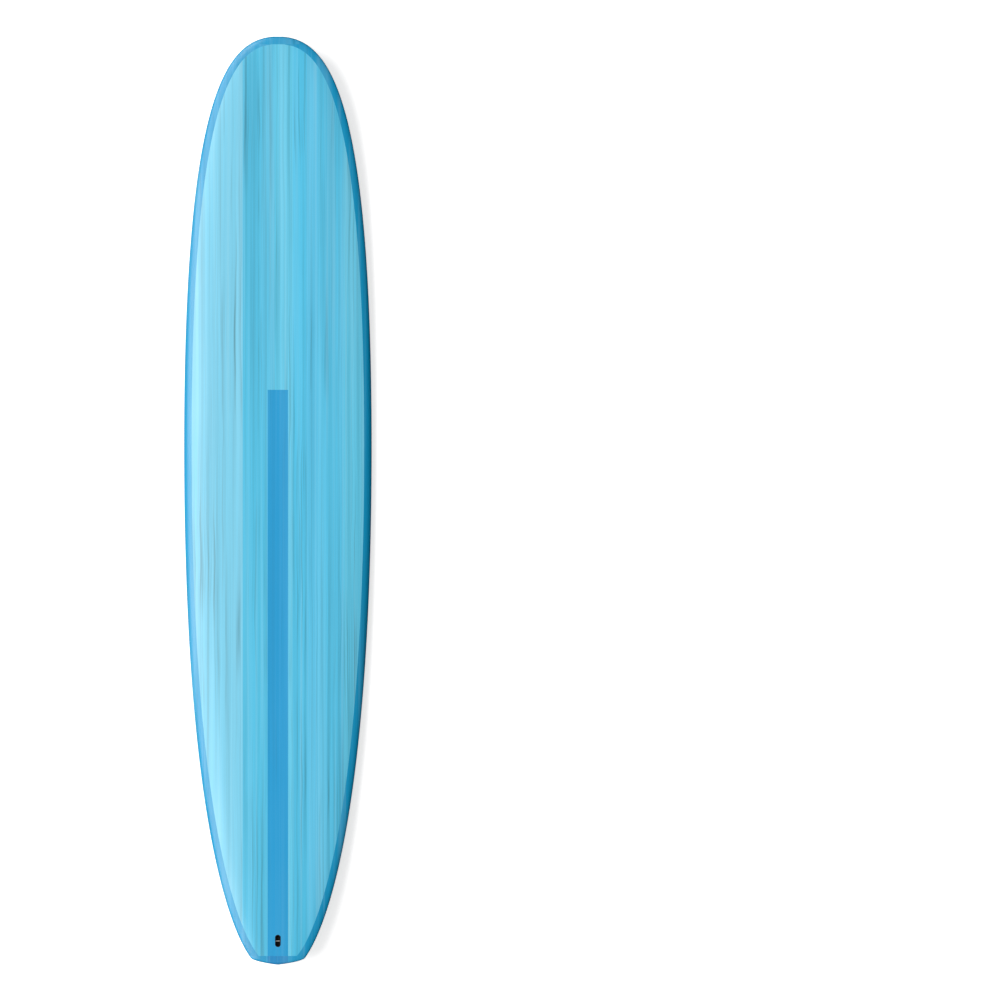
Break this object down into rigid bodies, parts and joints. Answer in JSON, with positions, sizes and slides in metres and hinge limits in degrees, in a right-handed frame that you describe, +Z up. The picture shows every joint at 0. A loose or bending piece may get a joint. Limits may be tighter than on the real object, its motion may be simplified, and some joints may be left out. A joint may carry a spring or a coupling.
{
  "type": "surfboard",
  "caption": "Light blue longboard with veneer skins, darker blue bands and centre strips, a long centre fin box, side fin plugs and a leash plug.",
  "frame": {"origin": "middle of the board in plan, at the lowest point of its bottom", "axes": "+Y towards the nose, +Z up out of the deck, +X towards the right rail of a rider who faces the nose"},
  "size_m": [0.575, 2.8441, 0.1225],
  "materials": {
    "foam": "cut white EPS foam",
    "dense_foam": "cut dense PVC foam",
    "deck_veneer": "light blue stained veneer under gloss epoxy",
    "bottom_veneer": "light blue stained veneer under gloss epoxy",
    "strip": "mid blue gloss laminate",
    "band": "blue gloss laminate",
    "moulding": "black moulded nylon, satin",
    "steel": "plain stainless steel",
    "plate": "plain stainless steel"
  },
  "bodies": {
    "board": {"deck_strip": "strip", "bottom_strip": "strip", "left_rail_band": "band", "right_rail_band": "band", "nose_block": "band", "tail_block": "band", "fin_box": "moulding", "fin_box_block": "dense_foam", "leash_cup": "moulding", "leash_pin": "steel", "leash_block": "dense_foam", "foam_core_1": "foam", "foam_core_2": "foam", "foam_core_3": "foam", "foam_core_4": "foam", "foam_core_5": "foam", "foam_core_6": "foam", "deck_plank_1": "deck_veneer", "deck_plank_2": "deck_veneer", "deck_plank_3": "deck_veneer", "deck_plank_4": "deck_veneer", "deck_plank_5": "deck_veneer", "deck_plank_6": "deck_veneer", "deck_plank_7": "deck_veneer", "bottom_plank_1": "bottom_veneer", "bottom_plank_2": "bottom_veneer", "bottom_plank_3": "bottom_veneer", "bottom_plank_4": "bottom_veneer", "bottom_plank_5": "bottom_veneer", "bottom_plank_6": "bottom_veneer", "bottom_plank_7": "bottom_veneer", "front_left_fin_plug": "moulding", "front_right_fin_plug": "moulding", "rear_left_fin_plug": "moulding", "rear_right_fin_plug": "moulding", "front_left_plug_block": "dense_foam", "front_right_plug_block": "dense_foam", "rear_left_plug_block": "dense_foam", "rear_right_plug_block": "dense_foam"},
    "centre_plate": {"fin_plate": "plate"},
    "front_left_screw_1": {"front_left_grub_screw_1": "steel"},
    "front_left_screw_2": {"front_left_grub_screw_2": "steel"},
    "front_right_screw_1": {"front_right_grub_screw_1": "steel"},
    "front_right_screw_2": {"front_right_grub_screw_2": "steel"},
    "rear_left_screw_1": {"rear_left_grub_screw_1": "steel"},
    "rear_left_screw_2": {"rear_left_grub_screw_2": "steel"},
    "rear_right_screw_1": {"rear_right_grub_screw_1": "steel"},
    "rear_right_screw_2": {"rear_right_grub_screw_2": "steel"}
  },
  "joints": [
    {"name": "centre_plate_slide", "type": "slide", "parent": "board", "child": "centre_plate", "axis": [0, 0.9945, -0.1047], "range_m": [0, 0.2363]},
    {"name": "front_left_screw_1_travel", "type": "slide", "parent": "board", "child": "front_left_screw_1", "axis": [-0.5278, 0.0781, 0.8458], "range_m": [-0.001, 0.0012]},
    {"name": "front_left_screw_2_travel", "type": "slide", "parent": "board", "child": "front_left_screw_2", "axis": [0.5315, 0.0466, 0.8458], "range_m": [-0.001, 0.0012]},
    {"name": "front_right_screw_1_travel", "type": "slide", "parent": "board", "child": "front_right_screw_1", "axis": [0.5278, 0.0781, 0.8458], "range_m": [-0.001, 0.0012]},
    {"name": "front_right_screw_2_travel", "type": "slide", "parent": "board", "child": "front_right_screw_2", "axis": [-0.5315, 0.0466, 0.8458], "range_m": [-0.001, 0.0012]},
    {"name": "rear_left_screw_1_travel", "type": "slide", "parent": "board", "child": "rear_left_screw_1", "axis": [-0.5272, 0.0986, 0.844], "range_m": [-0.001, 0.0012]},
    {"name": "rear_left_screw_2_travel", "type": "slide", "parent": "board", "child": "rear_left_screw_2", "axis": [0.5321, 0.0672, 0.844], "range_m": [-0.001, 0.0012]},
    {"name": "rear_right_screw_1_travel", "type": "slide", "parent": "board", "child": "rear_right_screw_1", "axis": [0.5272, 0.0986, 0.844], "range_m": [-0.001, 0.0012]},
    {"name": "rear_right_screw_2_travel", "type": "slide", "parent": "board", "child": "rear_right_screw_2", "axis": [-0.5321, 0.0672, 0.844], "range_m": [-0.001, 0.0012]}
  ]
}
